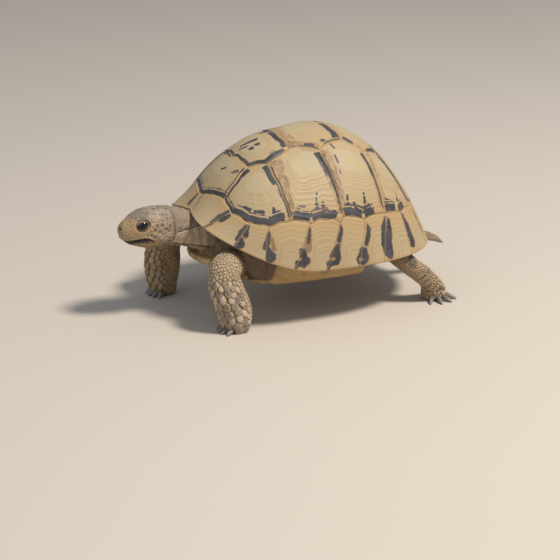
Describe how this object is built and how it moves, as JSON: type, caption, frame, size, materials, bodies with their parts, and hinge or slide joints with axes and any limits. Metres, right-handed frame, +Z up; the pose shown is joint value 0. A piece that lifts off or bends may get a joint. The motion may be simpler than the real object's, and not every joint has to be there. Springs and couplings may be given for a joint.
{
  "type": "tortoise",
  "caption": "Life-size still model of a spur-thighed tortoise in mid-stride, domed shell over outstretched head, bent legs and short tail.",
  "frame": {"origin": "middle of the animal's overall length and width, on the level of its soles", "axes": "head faces -Y, tail +Y, the animal's left side +X, +Z up"},
  "size_m": [0.1306, 0.238, 0.1195],
  "materials": {
    "carapace_horn": "satin horn scutes, yellow-tan with blackish bands and growth rings",
    "plastron_horn": "worn satin horn, yellowish brown with growth lines",
    "skin": "dry scaly skin, grey-brown with ochre",
    "eye": "wet dark eye"
  },
  "bodies": {
    "root": {"vertebral_1": "carapace_horn", "vertebral_2": "carapace_horn", "vertebral_3": "carapace_horn", "vertebral_4": "carapace_horn", "vertebral_5": "carapace_horn", "costal_left_1": "carapace_horn", "costal_left_2": "carapace_horn", "costal_left_3": "carapace_horn", "costal_left_4": "carapace_horn", "marginal_left_1": "carapace_horn", "marginal_left_2": "carapace_horn", "marginal_left_3": "carapace_horn", "marginal_left_4": "carapace_horn", "marginal_left_5": "carapace_horn", "marginal_left_6": "carapace_horn", "marginal_left_7": "carapace_horn", "marginal_left_8": "carapace_horn", "marginal_left_9": "carapace_horn", "marginal_left_10": "carapace_horn", "costal_right_1": "carapace_horn", "costal_right_2": "carapace_horn", "costal_right_3": "carapace_horn", "costal_right_4": "carapace_horn", "marginal_right_1": "carapace_horn", "marginal_right_2": "carapace_horn", "marginal_right_3": "carapace_horn", "marginal_right_4": "carapace_horn", "marginal_right_5": "carapace_horn", "marginal_right_6": "carapace_horn", "marginal_right_7": "carapace_horn", "marginal_right_8": "carapace_horn", "marginal_right_9": "carapace_horn", "marginal_right_10": "carapace_horn", "nuchal": "carapace_horn", "supracaudal": "carapace_horn", "plastron_front": "plastron_horn", "plastron_rear": "plastron_horn", "trunk": "skin", "head": "skin", "lower_jaw": "skin", "neck": "skin", "tail": "skin", "eye_left": "eye", "foreleg_left": "skin", "forefoot_left": "skin", "hindleg_left": "skin", "hindfoot_left": "skin", "eye_right": "eye", "foreleg_right": "skin", "forefoot_right": "skin", "hindleg_right": "skin", "hindfoot_right": "skin"}
  },
  "joints": []
}
